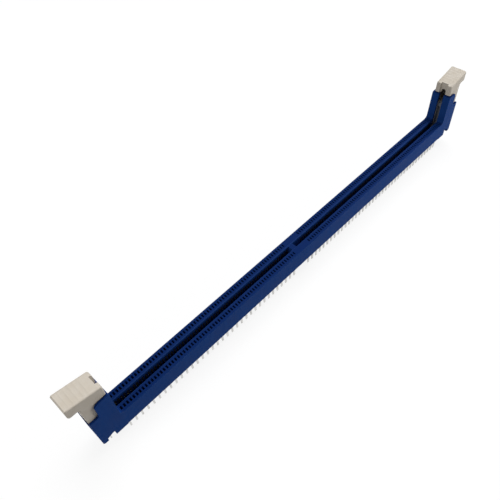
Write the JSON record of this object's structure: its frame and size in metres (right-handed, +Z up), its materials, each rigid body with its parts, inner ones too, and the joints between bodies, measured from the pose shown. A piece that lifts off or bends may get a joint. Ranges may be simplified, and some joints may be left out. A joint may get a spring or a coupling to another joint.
{
  "type": "card edge connector",
  "caption": "Long upright memory module socket: blue housing with a keyed card slot, staggered solder tails and a hinged ivory ejector latch at each end.",
  "frame": {"origin": "middle of the footprint, at the level of the board lock tips on which the socket stands", "axes": "+X along the contact rows towards the longer row, +Y from the front side to the rear side, +Z up, away from the circuit board"},
  "size_m": [0.145, 0.006, 0.0239],
  "materials": {
    "housing": "fine satin moulding",
    "latch": "satin moulding",
    "lock": "tin plated",
    "contact": "tin plated tails"
  },
  "bodies": {
    "socket": {"housing": "housing", "board_lock_left": "lock", "board_lock_right": "lock", "contacts_front_short_outer": "contact", "contacts_front_short_inner": "contact", "contacts_rear_short_outer": "contact", "contacts_rear_short_inner": "contact", "contacts_front_long_outer": "contact", "contacts_front_long_inner": "contact", "contacts_rear_long_outer": "contact", "contacts_rear_long_inner": "contact"},
    "left_latch": {"latch_left": "latch"},
    "right_latch": {"latch_right": "latch"}
  },
  "joints": [
    {"name": "left_latch_hinge", "type": "hinge", "parent": "socket", "child": "left_latch", "pos_m": [-0.0661, 0, 0.0061], "axis": [0, -1, 0], "range_deg": [0, 33]},
    {"name": "right_latch_hinge", "type": "hinge", "parent": "socket", "child": "right_latch", "pos_m": [0.0661, 0, 0.0061], "axis": [0, 1, 0], "range_deg": [0, 33]}
  ]
}
